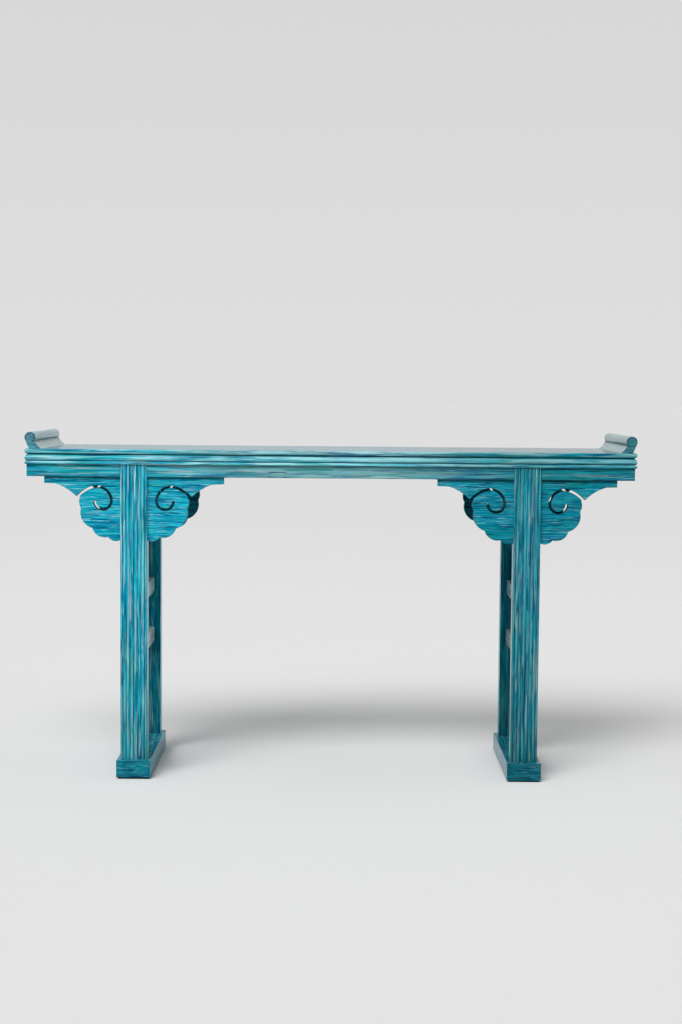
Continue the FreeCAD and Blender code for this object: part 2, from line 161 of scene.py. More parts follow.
def tint(code):
    """The linear colour of a six-digit code."""
    parts = [int(code[place:place + 2], 16) / 255 for place in (0, 2, 4)]
    return [part / 12.92 if part <= 0.04045 else ((part + 0.055) / 1.055) ** 2.4 for part in parts]


def size(title, words, value):
    """A length that a user can change."""
    return FloatProperty(name=title, description=words, default=value, min=0.0, unit="LENGTH")


def colour(title, words, code):
    """A colour that a user can change."""
    return FloatVectorProperty(
        name=title, description=words, default=tint(code), min=0.0, max=1.0, subtype="COLOR", size=3
    )


def plain_number(title, words, value):
    """A number that a user can change."""
    return FloatProperty(name=title, description=words, default=value, min=0.0)


def plain_angle(title, words, value):
    """An angle that a user can change."""
    return FloatProperty(name=title, description=words, default=value, subtype="ANGLE")


def plain_vector(title, words, value, subtype="XYZ"):
    """A place, a direction or a step that a user can change."""
    return FloatVectorProperty(name=title, description=words, default=value, subtype=subtype)


class AltarTableSizes(bpy.types.PropertyGroup):
    """Sizes of the details."""

    upper_bead: size("Upper bead", "Height of the upper bead of the moulding", 0.014)
    middle_bead: size("Middle bead", "Height of the middle bead of the moulding", 0.017)
    upper_groove: size("Upper groove", "Depth of the groove under the upper bead", 0.008)
    lower_groove: size("Lower groove", "Depth of the groove under the middle bead", 0.0058)
    top_round: size("Top edge", "Round of the upper edge of the moulding", 0.003)
    under_round: size("Under edge", "Round of the lower edge of the moulding", 0.003)
    seam_round: size("Seam round", "Round of the edges along the seams of the top", 0.0005)
    board_round: size("Board round", "Round of the edges of aprons and spandrels", 0.0008)
    bar_round: size("Bar round", "Round of the edges of stretchers and battens", 0.002)
    foot_round: size("Foot round", "Round of the upper edges of the feet", 0.002)
    reed_count: IntProperty(name="Reeds", description="Number of reeds on a leg", default=6, min=1)
    reed_depth: size("Reed depth", "Depth of the grooves between the reeds", 0.002)
    leg_bead: size("Leg bead", "Width of the bead at each edge of a leg", 0.0064)
    leg_corner: size("Leg corner", "Round of the corners of a leg", 0.003)
    joint_gap: size("Joint gap", "Play between a leg and the boards that it clasps", 0.0002)
    # Reach of the painted shadow that each apron casts on the spandrels under it
    apron_shadow_reach: size("Corner glaze", "Reach of the glaze on the spandrels under the aprons", 0.013)
    curl_width: size("Curl width", "Width of the pierced curl", 0.006)
    curl_drop: size("Drop", "Height of a spandrel, which its outline follows", 0.1695)
    roll_radius: size("Roll radius", "Radius of the roll of a flange", 0.0143)
    flange_heel: size("Heel", "Distance of a flange from the end of the top", 0.011)
    neck_drop: size("Neck drop", "Depth of the neck under the middle of the roll", 0.009)
    # Widths of the near-black painted shade round each roll end and of the painted shade in the crease under
    # the roll
    ring_width: size("Ring", "Width of the dark ring around the end of the roll", 0.0026)
    crease_width: size("Crease", "Width of the dark crease under the roll", 0.0045)
    boss_rise: size("Roll end", "Rise of the end of the roll over the end of the flange", 0.0012)
    felt_round: size("Felt round", "Round of the edges of the pads", 0.0012)


class AltarTableColours(bpy.types.PropertyGroup):
    """Colours of the brushed paint and the felt."""

    deep: colour("Deep", "Darkest tone of the ground", "005a82")
    ground: colour("Ground", "Main tone of the ground", "04a3bd")
    clear: colour("Clear", "Lightest tone of the ground", "2cc6d8")
    blue: colour("Blue", "Blue that breaks the ground", "048cba")
    green: colour("Green", "Green that breaks the ground", "12a5a1")
    light: colour("Light streaks", "Light streaks over the ground", "aaeaee")
    pale: colour("Pale streaks", "Pale streaks over the ground", "b6ceca")
    # Worn paint colour, also laid as a painted reflection: the grey sheen of the flanges and stretchers
    worn_and_sheen: colour("Worn paint", "Worn and chalky paint", "c2c6bc")
    dark: colour("Dark streaks", "Dark streaks over the ground", "004a66")
    # Glaze colour, also laid as painted shade in grooves, under crests, on cut edges and in creases, and as
    # the painted shadow of the aprons
    glaze: colour("Glaze", "Glaze that gathers in grooves", "003a4a")
    # Near-black painted shade in the pierced curls, on the top and bottom front edges of the aprons and round
    # each roll end
    cut: colour("Cut edges", "Cut edges of the boards and deepest creases", "000e18")
    felt: colour("Felt", "Felt of the pads", "050607")


class AltarTableStage(bpy.types.PropertyGroup):
    """Light, floor and backdrop."""

    floor_near: colour("Floor near", "Floor under the table", "e6e6e6")
    floor_far: colour("Floor far", "Floor at the horizon", "e0e0e0")
    under: colour("Backdrop under", "Backdrop below the horizon, where the floor ends", "e3e3e3")
    near: colour("Backdrop low", "Backdrop at the horizon", "dedede")
    far: colour("Backdrop high", "Backdrop over the table", "d8d8d8")
    even_light: plain_number("Even light", "Light from all around", 0.232)
    wall_light: plain_number("Wall light", "How much brighter the sides are than the rest", 3.0)
    key: plain_number("Key", "Strength of the main lamps", 2.78)
    key_count: IntProperty(name="Keys", description="Number of the main lamps", default=7, min=1)
    key_spread: plain_angle("Key spread", "Width of each main lamp", math.radians(30))
    key_step: plain_vector("Key step", "Step from one main lamp to the next", (-0.147, -0.053, 0.0))
    key_bend: plain_vector("Key bend", "How far the row of main lamps bends", (-0.0133, -0.0089, 0.0))
    toward_key: plain_vector(
        "Toward the key", "Direction of the middle main lamp", (-0.38, -0.88, 1.0), "DIRECTION"
    )
    top_light: plain_number("Top light", "Strength of the lamp overhead", 0.12)
    top_spread: plain_angle("Top spread", "Width of the lamp overhead", math.radians(34))
    toward_top: plain_vector(
        "Toward the top light", "Direction of the lamp overhead", (-0.3, -0.14, 0.94), "DIRECTION"
    )
    floor_radius: size("Floor radius", "Radius of the floor", 60.0)
    floor_front: size("Floor front", "Reach of the floor in front of the table", 2.0)
    camera_place: plain_vector("Camera", "Place of the camera", (0.0275, -4.5638, 1.0295), "TRANSLATION")
    camera_tilt: plain_angle("Tilt", "How far the camera looks down", 0.0727)
    camera_roll: plain_angle("Roll", "Roll of the camera", 0.0081)
    camera_lens: plain_number("Lens", "Focal length in millimetres", 58.95)


def angle_from(before, after, axis):
    """The angle from one spoke to another round an axis."""
    return math.atan2(before.cross(after).dot(axis), before.dot(after))


class Pen:
    """Draws a closed outline: straights by extruding its end, rounds by spinning it."""

    def __init__(self, shape, start, axis):
        self.shape = shape
        self.axis = axis
        self.first = shape.verts.new(start)
        self.end = self.first

    def straight(self, *points):
        for point in points:
            made = bmesh.ops.extrude_vert_indiv(self.shape, verts=[self.end])
            self.end = made["verts"][0]
            self.end.co = point

    def turn(self, centre, angle):
        steps = max(1, math.ceil(abs(angle) / ARC_STEP))
        made = bmesh.ops.spin(
            self.shape, geom=[self.end], cent=centre, axis=self.axis, angle=angle, steps=steps
        )
        self.end = [part for part in made["geom_last"] if isinstance(part, bmesh.types.BMVert)][0]

    def turn_to(self, centre, point):
        self.turn(centre, angle_from(self.end.co - centre, point - centre, self.axis))
        self.end.co = point

    def round_to(self, middle, point):
        to_middle = middle - self.end.co
        to_point = point - self.end.co
        normal = to_middle.cross(to_point)
        across = (to_point * to_middle.length_squared - to_middle * to_point.length_squared).cross(normal)
        centre = self.end.co + across / (2 * normal.length_squared)
        angle = angle_from(self.end.co - centre, point - centre, self.axis)
        if angle * normal.dot(self.axis) < 0:
            angle += math.copysign(math.tau, normal.dot(self.axis))
        self.turn(centre, angle)
        self.end.co = point

    def close(self):
        """Join the end to the start and fill the outline."""
        if (self.end.co - self.first.co).length > SAME_PLACE:
            self.straight(self.first.co)
        bmesh.ops.weld_verts(self.shape, targetmap={self.end: self.first})
        loose = [edge for edge in self.shape.edges if edge.is_wire]
        return bmesh.ops.contextual_create(self.shape, geom=loose)["faces"][0]


def sweep(shape, faces, run):
    """Extrude some faces along a straight run and return the far ones."""
    edges = {edge for face in faces for edge in face.edges}
    made = bmesh.ops.extrude_face_region(shape, geom=list(faces) + list(edges))["geom"]
    bmesh.ops.translate(shape, verts=[part for part in made if isinstance(part, bmesh.types.BMVert)], vec=run)
    return [part for part in made if isinstance(part, bmesh.types.BMFace)]


def bar(low, high):
    """A bar between two corners."""
    shape = bmesh.new()
    bmesh.ops.create_cube(shape, size=1.0)
    bmesh.ops.scale(shape, verts=shape.verts, vec=high - low)
    bmesh.ops.translate(shape, verts=shape.verts, vec=(low + high) / 2)
    return shape


def soften(shape, amount, segments, chosen=lambda edge: True):
    """Round the sharp edges that a test chooses."""
    bmesh.ops.recalc_face_normals(shape, faces=shape.faces)
    edges = [edge for edge in shape.edges if edge.calc_face_angle(0) > SHARP_ANGLE and chosen(edge)]
    bmesh.ops.bevel(
        shape, geom=edges, offset=amount, offset_type="OFFSET", segments=segments, profile=0.5,
        affect="EDGES", material=-1, clamp_overlap=True,
    )


def runs_along(axis):
    """A test for edges that run along an axis."""
    def chosen(edge):
        run = (edge.verts[1].co - edge.verts[0].co).normalized()
        return abs(run.dot(axis)) > NEARLY
    return chosen


def gather_glaze_and_shade(shape, rule):
    """Store how much dark glaze and painted shade lies at each vertex, from 0 to 1, by its place."""
    layer = shape.verts.layers.float.new("glaze")
    for vert in shape.verts:
        vert[layer] = min(1.0, max(0.0, rule(vert.co)))


def flip(shape, side_x, side_y):
    """Turn a front right piece into its like at another corner."""
    bmesh.ops.scale(shape, verts=shape.verts, vec=(side_x, side_y, 1))


def facing_in(face):
    """Whether a face looks toward the middle plane of the table, and so is hidden."""
    return int(face.normal.y * face.calc_center_median().y < 0 and abs(face.normal.y) > MOSTLY)


def facing_down(face):
    """Whether a face looks down."""
    return int(face.normal.z < -MOSTLY)


def across_end(face):
    """Whether a face is the end of a piece that runs from front to back."""
    return int(abs(face.normal.y) > MOSTLY)


def under_or_over(face):
    """One for a face that looks down, two for one that looks straight up."""
    return 2 if face.normal.z > STRAIGHT else facing_down(face)


def finish_piece(shape, node, *paints, chosen=None, slot="painted_wood"):
    """Make the finished piece of a modelled shape, which stands for a node of the frame. A rule may choose
    the number of the paint that a face gets."""
    bmesh.ops.recalc_face_normals(shape, faces=shape.faces)
    if not all(edge.is_manifold for edge in shape.edges):
        raise RuntimeError(node + ": the shape isn't closed")
    if chosen:
        for face in shape.faces:
            face.material_index = chosen(face)
    mesh = bpy.data.meshes.new(node + "_dressed")
    shape.to_mesh(mesh)
    shape.free()
    mesh.shade_smooth()
    mesh.set_sharp_from_angle(angle=SHARP_ANGLE)
    for paint in paints:
        mesh.materials.append(paint)
    piece = bpy.data.objects.new(node + "_dressed", mesh)
    bpy.context.scene.collection.objects.link(piece)
    evening = piece.modifiers.new("Even shading", "WEIGHTED_NORMAL")
    evening.keep_sharp = True
    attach(piece, "root")
    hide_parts(node)


class Wiring:
    """Adds nodes to a node tree and joins them."""

    def __init__(self, tree):
        self.tree = tree

    def add(self, kind, inputs, **settings):
        node = self.tree.nodes.new(kind)
        for key, value in settings.items():
            setattr(node, key, value)
        for key, value in inputs.items():
            if isinstance(value, bpy.types.NodeSocket):
                self.tree.links.new(value, node.inputs[key])
            else:
                node.inputs[key].default_value = value
        return node

    def drawn_out(self, place, along, across, shift):
        """A place drawn out along X and shifted."""
        inputs = {0: place, 1: (along, across, across), 2: (shift, shift, shift)}
        return self.add("ShaderNodeVectorMath", inputs, operation="MULTIPLY_ADD").outputs[0]

    def noise(self, place, along, across, detail, shift):
        """Noise drawn out into streaks along X."""
        drawn = self.drawn_out(place, along, across, shift)
        inputs = {"Vector": drawn, "Scale": 1.0, "Detail": detail, "Roughness": 0.55}
        return self.add("ShaderNodeTexNoise", inputs).outputs["Fac"]

    def strokes(self, place, along, across, shift):
        """Tapered cells drawn out along X, each with chance values of its own."""
        drawn = self.drawn_out(place, along, across, shift)
        cells = self.add("ShaderNodeTexVoronoi", {"Vector": drawn, "Scale": 1.0})
        return self.add("ShaderNodeSeparateColor", {0: cells.outputs["Color"]}).outputs

    def between(self, value, low, high, least=0.0, most=1.0):
        """A smooth step of a value."""
        inputs = {"Value": value, "From Min": low, "From Max": high, "To Min": least, "To Max": most}
        return self.add("ShaderNodeMapRange", inputs, interpolation_type="SMOOTHSTEP").outputs["Result"]

    def maths(self, operation, first, second, third=0.0):
        return self.add("ShaderNodeMath", {0: first, 1: second, 2: third}, operation=operation).outputs[0]

    def times(self, first, *others):
        """The product of some values."""
        for other in others:
            first = self.maths("MULTIPLY", first, other)
        return first

    def blend(self, amount, below, above):
        """One colour laid over another."""
        inputs = {0: amount, 6: below, 7: above}
        return self.add("ShaderNodeMix", inputs, data_type="RGBA", clamp_factor=True).outputs[2]


def bare_wiring(block):
    """Wiring for a new material or world, with no nodes yet."""
    block.use_nodes = True
    block.node_tree.nodes.clear()
    return Wiring(block.node_tree)


def opaque(value):
    return (*value, 1.0)


def brushed_group(colours):
    """The pattern of the brushed paint, with the strokes along X, and the painted shade, shadow, highlight
    and reflection that it lays on.
    """
    name = "Brushed paint"
    if name in bpy.data.node_groups:
        return bpy.data.node_groups[name]
    group = bpy.data.node_groups.new(name, "ShaderNodeTree")
    amounts = ("Glaze", "Tone", "Crest", "Shade", "Pale", "Wear and sheen", "Worn middle and highlight", "Low shade", "Blueness")
    inputs = [("Place", "Vector"), ("Spot", "Vector")] + [(title, "Float") for title in amounts]
    outputs = [("Color", "Color"), ("Roughness", "Float"), ("Height", "Float")]
    for direction, sockets in (("INPUT", inputs), ("OUTPUT", outputs)):
        for title, kind in sockets:
            group.interface.new_socket(title, in_out=direction, socket_type="NodeSocket" + kind)
    wiring = Wiring(group)
    given = wiring.add("NodeGroupInput", {}).outputs
    place = given["Place"]
    for scale, swing in WANDERS:
        wander = wiring.add("ShaderNodeTexNoise", {"Vector": place, "Scale": scale, "Detail": 1.0})
        place = wiring.add(
            "ShaderNodeVectorMath", {0: wander.outputs["Color"], 1: (0.0, swing, swing), 2: place},
            operation="MULTIPLY_ADD",
        ).outputs[0]

    streak = {kind: wiring.noise(place, *values) for kind, values in STREAKS.items()}
    stroke = wiring.strokes(place, 14.0, 170.0, 5.9)
    hair = wiring.strokes(place, 26.0, 420.0, 17.3)

    weights = (
        (stroke["Red"], 0.26), (hair["Red"], 0.16),
        (streak["broad"], 0.3), (streak["middle"], 0.18), (streak["bristle"], 0.1),
    )
    tone = given["Tone"]
    for part, weight in weights:
        tone = wiring.maths("MULTIPLY_ADD", part, weight, tone)
    paint = wiring.blend(wiring.between(tone, 0.33, 0.52), opaque(colours.deep), opaque(colours.ground))
    paint = wiring.blend(wiring.between(tone, 0.5, 0.68), paint, opaque(colours.clear))
    hue = wiring.maths("MULTIPLY_ADD", streak["patch"], 0.55, given["Blueness"])
    hue = wiring.maths("MULTIPLY_ADD", stroke["Green"], 0.45, hue)
    paint = wiring.blend(wiring.between(hue, 0.54, 0.74, 0.0, 0.5), paint, opaque(colours.blue))
    paint = wiring.blend(wiring.between(hue, 0.44, 0.26, 0.0, 0.7), paint, opaque(colours.green))

    darks = wiring.between(streak["dark"], 0.56, 0.68, 0.0, 0.85)
    paint = wiring.blend(darks, paint, opaque(colours.dark))
    pales = wiring.times(
        wiring.between(streak["pale"], 0.54, 0.68, 0.0, 0.8),
        wiring.between(stroke["Blue"], 0.35, 0.8, 0.2, 1.0),
        given["Pale"],
    )
    paint = wiring.blend(pales, paint, opaque(colours.pale))
    lights = wiring.times(
        wiring.between(streak["light"], 0.53, 0.65),
        wiring.between(hair["Green"], 0.4, 0.85, 0.05, 1.0),
        wiring.between(streak["patch"], 0.35, 0.6, 0.3, 0.95),
    )
    paint = wiring.blend(lights, paint, opaque(colours.light))

    spot = wiring.add("ShaderNodeSeparateXYZ", {0: given["Spot"]}).outputs
    # Worn paint toward the middle of the table, stronger just under the top edge, where it is a painted
    # highlight along the upper bead
    worn_middle_and_highlight = wiring.times(
        wiring.between(wiring.maths("ABSOLUTE", spot["X"], 0.0), *WORN_REACH),
        wiring.between(spot["Z"], TOP - EDGE_DROPS[0], TOP - EDGE_DROPS[1], 1.0, 3.0),
        given["Worn middle and highlight"],
        wiring.between(tone, 0.38, 0.58, 0.3, 1.3),
    )
    # Worn paint, which on the flanges and stretchers is also a painted reflection: the grey sheen of smooth
    # paint at a grazing angle
    wear_and_sheen = wiring.times(
        wiring.maths("ADD", worn_middle_and_highlight, given["Wear and sheen"]), wiring.between(streak["wear_and_sheen"], 0.35, 0.6, 0.5, 1.0)
    )
    paint = wiring.blend(wear_and_sheen, paint, opaque(colours.worn_and_sheen))

    # Light dry-brushed paint on crests, which on the beads of the rails is also a painted highlight
    dry_brush_and_highlight = wiring.times(
        wiring.between(given["Glaze"], 0.5, 0.05), wiring.between(streak["dry_brush_and_highlight"], 0.46, 0.62), given["Crest"]
    )
    paint = wiring.blend(dry_brush_and_highlight, paint, opaque(colours.light))
    # Glaze and painted shade by the mark on each vertex, near-black painted shade where the mark is highest
    darkened = wiring.times(wiring.maths("POWER", given["Glaze"], 1.4), 0.95)
    paint = wiring.blend(darkened, paint, opaque(colours.glaze))
    paint = wiring.blend(wiring.between(given["Glaze"], 0.7, 1.0, 0.0, 0.9), paint, opaque(colours.cut))
    # Painted shade: darker toward the right end as if the light fell off from the left, darker toward the
    # floor, and by each paint's shade
    deepen = wiring.times(
        wiring.between(spot["X"], 0.0, END_SHADE_REACH, 1.0, 0.6),
        given["Shade"],
        wiring.between(spot["Z"], 0.0, LOW_SHADE_REACH, given["Low shade"], 1.0),
    )
    shaded = wiring.add("ShaderNodeVectorMath", {0: paint, "Scale": deepen}, operation="SCALE").outputs[0]
    gloss_break = wiring.between(streak["bristle"], 0.35, 0.65, 0.1, 0.2)
    finished = {
        "Color": shaded,
        "Roughness": wiring.maths("MULTIPLY_ADD", given["Glaze"], 0.6, gloss_break),
        "Height": wiring.maths("MULTIPLY_ADD", streak["middle"], 0.5, streak["bristle"]),
    }
    wiring.add("NodeGroupOutput", finished)
    return group


def brushed_paint(name, axis, shift, long=1.0, wide=1.0, tone=0.0, crest=0.0, shade=1.0, pale=1.0, wear_and_sheen=0.0,
                  worn_middle_and_highlight=0.0, low=0.7, relief=0.1, blueness=0.0, gloss=PLAIN_GLOSS):
    """Brushed paint with its strokes along an axis. The shift gives each kind of piece strokes of its own."""
    if name in bpy.data.materials:
        return bpy.data.materials[name]
    material = bpy.data.materials.new(name)
    wiring = bare_wiring(material)
    turns = {"X": (0, 0, 0), "Y": (0, 0, math.pi / 2), "Z": (0, math.pi / 2, 0)}
    coordinates = wiring.add("ShaderNodeTexCoord", {}).outputs["Object"]
    turned = wiring.add("ShaderNodeMapping", {"Vector": coordinates, "Rotation": turns[axis]}).outputs[0]
    moved = {"Vector": turned, "Location": (shift, shift / 3, shift / 7)}
    moved["Scale"] = (1 / long, 1 / wide, 1 / wide)
    drawn = wiring.add("ShaderNodeMapping", moved).outputs[0]
    glaze = wiring.add("ShaderNodeAttribute", {}, attribute_name="glaze").outputs["Fac"]
    settings = {
        "Place": drawn, "Spot": coordinates, "Glaze": glaze, "Tone": tone, "Crest": crest, "Shade": shade,
        "Pale": pale, "Wear and sheen": wear_and_sheen, "Worn middle and highlight": worn_middle_and_highlight, "Low shade": low, "Blueness": blueness,
    }
    pattern = brushed_group(bpy.context.scene.altar_table_colours)
    strokes = wiring.add("ShaderNodeGroup", settings, node_tree=pattern)
    marks = {"Height": strokes.outputs["Height"], "Strength": relief, "Distance": BRUSH_DEPTH}
    bump = wiring.add("ShaderNodeBump", marks)
    inputs = {
        "Base Color": strokes.outputs["Color"], "Roughness": strokes.outputs["Roughness"],
        "Normal": bump.outputs[0], "IOR": gloss,
    }
    shader = wiring.add("ShaderNodeBsdfPrincipled", inputs)
    wiring.add("ShaderNodeOutputMaterial", {"Surface": shader.outputs[0]})
    return material


def inward_shade_paint():
    """Dark paint along the boards on faces that look inward or down: painted shade for faces under the top
    and behind the front.
    """
    return brushed_paint("Painted shade along", "X", 41.0, shade=0.32, pale=0.3)


def top_paint(name, axis, shift):
    """Smooth deep paint of the faces that look up."""
    return brushed_paint(name, axis, shift, long=2.0, shade=0.6, relief=0.02)


def felt_material():
    """Matted felt."""
    material = bpy.data.materials.new("Felt")
    wiring = bare_wiring(material)
    base = bpy.context.scene.altar_table_colours.felt
    place = wiring.add("ShaderNodeTexCoord", {}).outputs["Object"]
    fibres = wiring.noise(place, 900.0, 1500.0, 5.0, 5.3)
    clumps = wiring.noise(place, 140.0, 140.0, 2.0, 9.7)
    nap = wiring.maths("MULTIPLY_ADD", clumps, 0.6, wiring.times(fibres, 0.5))
    shade = wiring.blend(wiring.between(nap, 0.4, 0.75), opaque(base), opaque([3 * part for part in base]))
    relief = wiring.add("ShaderNodeBump", {"Height": fibres, "Strength": 0.6, "Distance": BRUSH_DEPTH})
    inputs = {
        "Base Color": shade, "Roughness": wiring.between(clumps, 0.3, 0.7, 0.85, 1.0),
        "Normal": relief.outputs[0], "Specular IOR Level": 0.05,
    }
    shader = wiring.add("ShaderNodeBsdfPrincipled", inputs)
    wiring.add("ShaderNodeOutputMaterial", {"Surface": shader.outputs[0]})
    return material


def moulding(pen, place, sizes):
    """Draw the three beads of a rail, where place gives the point at a depth and a level. Gives the levels of
    the crest and the foot of each bead."""
    rail_height = TOP - RAIL_UNDER
    heights = (sizes.upper_bead, sizes.middle_bead, rail_height - sizes.upper_bead - sizes.middle_bead)
    depths = (sizes.top_round, sizes.upper_groove, sizes.lower_groove, sizes.under_round)
    spans = []
    level = TOP
    for number, height in enumerate(heights):
        crest = level - CREST_SHARES[number] * height
        foot = level - height
        above, below = depths[number:number + 2]
        halves = ((above, level - crest, place(0, crest)), (below, crest - foot, place(below, foot)))
        for depth, rise, end in halves:
            radius = (depth ** 2 + rise ** 2) / (2 * depth)
            pen.turn_to(place(radius, crest), end)
        spans.append((crest, foot))
        level = foot
    return spans


def rail_shape(sizes, half_run, half_across):
    """A mitred rail at the front of a frame, along X."""
    shape = bmesh.new()

    def place(depth, level):
        return Vector((-half_run, -half_across + depth, level))

    pen = Pen(shape, place(sizes.top_round, TOP), ALONG_X)
    spans = moulding(pen, place, sizes)
    pen.straight(place(RAIL_WIDTH, RAIL_UNDER), place(RAIL_WIDTH, TOP))
    far = sweep(shape, [pen.close()], ALONG_X * (2 * half_run))
    far_verts = {vert for face in far for vert in face.verts}
    for side, verts in ((-1, [vert for vert in shape.verts if vert not in far_verts]), (1, list(far_verts))):
        mitre = Matrix.Identity(4)
        mitre[0][1] = -side
        mitre[0][3] = -side * half_across
        bmesh.ops.transform(shape, matrix=mitre, verts=verts)
    soften(shape, sizes.seam_round, 2)

    # Glaze and painted shade in the grooves, and painted shade over the lower part of each bead under its
    # crest
    def depth_glaze_and_shade(point):
        depth = point.y + half_across
        if depth > 2 * sizes.upper_groove or point.z > TOP - sizes.seam_round:
            return 0
        drops = [(crest - point.z) / (crest - foot) for crest, foot in spans if foot <= point.z < crest]
        in_groove = (depth - sizes.upper_groove / 4) / (sizes.upper_groove * 0.6)
        return max(0, GROOVE_GLAZE_AND_SHADE * in_groove) + UNDER_CREST_SHADE * max(drops, default=0)

    gather_glaze_and_shade(shape, depth_glaze_and_shade)
    return shape


def leg_shape(sizes):
    """The front right leg: reeds between two beads, and above the slot two cheeks that clasp the boards."""
    shape = bmesh.new()
    shoulder = LEG_FRONT + sizes.leg_corner
    groove = LEG_FRONT + sizes.reed_depth
    pitch = (LEG_HIGH.x - LEG_LOW.x - 2 * sizes.leg_bead) / sizes.reed_count

    def place(x, y):
        return Vector((x, y, FOOT_TOP))

    first = LEG_LOW.x + sizes.leg_bead
    ends = [place(first + pitch * number, groove) for number in range(sizes.reed_count + 1)]
    ends.append(place(LEG_HIGH.x, shoulder))
    pen = Pen(shape, place(LEG_LOW.x, shoulder), ALONG_Z)
    for end in ends:
        pen.round_to(place((pen.end.co.x + end.x) / 2, LEG_FRONT), end)
    right = LEG_HIGH.x - sizes.leg_corner
    left = LEG_LOW.x + sizes.leg_corner
    cheek = LEG_BACK - sizes.leg_corner
    pen.straight(place(LEG_HIGH.x, cheek))
    pen.turn_to(place(right, cheek), place(right, LEG_BACK))
    pen.straight(place(left, LEG_BACK))
    pen.turn_to(place(left, cheek), place(LEG_LOW.x, cheek))
    slot_under = BOARD_UNDER - sizes.joint_gap
    sweep(shape, [pen.close()], ALONG_Z * (slot_under - FOOT_TOP))
    for level in (BOARD_FRONT - sizes.joint_gap, BOARD_BACK + sizes.joint_gap):
        upper = [vert for vert in shape.verts if vert.co.z > slot_under - SAME_PLACE]
        edges = {edge for vert in upper for edge in vert.link_edges if edge.other_vert(vert) in upper}
        faces = [face for face in shape.faces if all(vert in upper for vert in face.verts)]
        bmesh.ops.bisect_plane(
            shape, geom=upper + list(edges) + faces, dist=SAME_PLACE, plane_co=(0, level, 0), plane_no=ALONG_Y
        )
    caps = [
        face for face in shape.faces
        if all(vert.co.z > slot_under - SAME_PLACE for vert in face.verts)
        and not BOARD_FRONT < face.calc_center_median().y < BOARD_BACK
    ]
    for cap in caps:
        sweep(shape, [cap], ALONG_Z * (RAIL_UNDER - slot_under))

    # Glaze and painted shade in the grooves between the reeds
    def reed_glaze_and_shade(point):
        depth = point.y - LEG_FRONT
        return REED_GLAZE_AND_SHADE * depth / sizes.reed_depth if depth < sizes.reed_depth + SAME_PLACE else 0.0

    gather_glaze_and_shade(shape, reed_glaze_and_shade)
    return shape


def spandrel_shape(sizes):
    """The outer right spandrel at the front, with its pierced curl."""
    shape = bmesh.new()
    side = LEG_HIGH.x
    reach = SPANDREL_HIGH.x - side

    def place(share):
        return Vector((side + share[0] * reach, BOARD_FRONT, APRON_UNDER - share[1] * sizes.curl_drop))

    start = Vector((SPANDREL_LOW.x, BOARD_FRONT, APRON_UNDER))
    pen = Pen(shape, start, ALONG_Y)
    pen.straight(*[place(share) for share in TAIL_SHARES])
    pen.round_to(place(TONGUE_SHARES[0]), place(TONGUE_SHARES[1]))

    middle_line = []
    stops = [place(share) for share in (CURL_MOUTH_SHARE,) + CURL_SHARES]
    heading = (place(CURL_AIM_SHARE) - stops[0]).normalized()
    first_heading = heading
    rounds = []
    for begin, end in zip(stops, stops[1:]):
        across = heading.cross(ALONG_Y)
        chord = end - begin
        centre = begin + across * (chord.length_squared / (2 * chord.dot(across)))
        before = begin - centre
        angle = angle_from(before, end - centre, ALONG_Y)
        rounds.append((centre, angle))
        turns = [Matrix.Rotation(angle * share, 3, ALONG_Y) for share in CURL_STOP_SHARES]
        middle_line += [centre + turn @ before for turn in turns]
        heading = Matrix.Rotation(angle, 3, ALONG_Y) @ heading
    half = first_heading.cross(ALONG_Y) * (sizes.curl_width / 2)
    mouth = [
        intersect_line_line(edge, edge + first_heading, place(TONGUE_SHARES[1]), place(CLOUD_SHARE))[0]
        for edge in (stops[0] - half, stops[0] + half)
    ]
    pen.straight(mouth[0], stops[0] - half)
    for centre, angle in rounds:
        pen.turn(centre, angle)
    pen.turn(stops[-1], -math.pi)
    for centre, angle in reversed(rounds):
        pen.turn(centre, -angle)
    pen.end.co = mouth[1]

    pen.straight(place(CLOUD_SHARE))
    for on_round, last in LOBE_SHARES:
        pen.round_to(place(on_round), place(last))
    pen.straight(Vector((start.x, BOARD_FRONT, pen.end.co.z)))
    sweep(shape, [pen.close()], ALONG_Y * (BOARD_BACK - BOARD_FRONT))

    def on_a_face(edge):
        return abs(edge.verts[0].co.y - edge.verts[1].co.y) < SAME_PLACE

    soften(shape, sizes.board_round, 3, on_a_face)
    # A cut across the face where the painted shadow of the apron ends
    everything = list(shape.verts) + list(shape.edges) + list(shape.faces)
    bmesh.ops.bisect_plane(
        shape, geom=everything, dist=SAME_PLACE, plane_co=(0, 0, APRON_UNDER - sizes.apron_shadow_reach),
        plane_no=ALONG_Z,
    )

    # Painted shade near black on the walls of the curl and darker on the other cut edges, and the painted
    # shadow of the apron along the top
    def rim_shade_and_shadow(point):
        inside = min(point.y - BOARD_FRONT, BOARD_BACK - point.y)
        if inside > SAME_PLACE:
            to_curl = min(math.hypot(point.x - spot.x, point.z - spot.z) for spot in middle_line)
            return 1.0 if to_curl < 1.2 * sizes.curl_width else EDGE_SHADE
        return APRON_SHADOW if point.z > APRON_UNDER - 2 * sizes.board_round else 0.0

    gather_glaze_and_shade(shape, rim_shade_and_shadow)
    return shape


def apron_board(corners, amount, axis):
    """A board under a rail by its corners from above, with soft edges along an axis."""
    shape = bmesh.new()
    first, *others = [Vector((x, y, APRON_UNDER)) for x, y in corners]
    pen = Pen(shape, first, ALONG_Z)
    pen.straight(*others)
    sweep(shape, [pen.close()], ALONG_Z * (RAIL_UNDER - APRON_UNDER))
    soften(shape, amount, 3, runs_along(axis))
    return shape


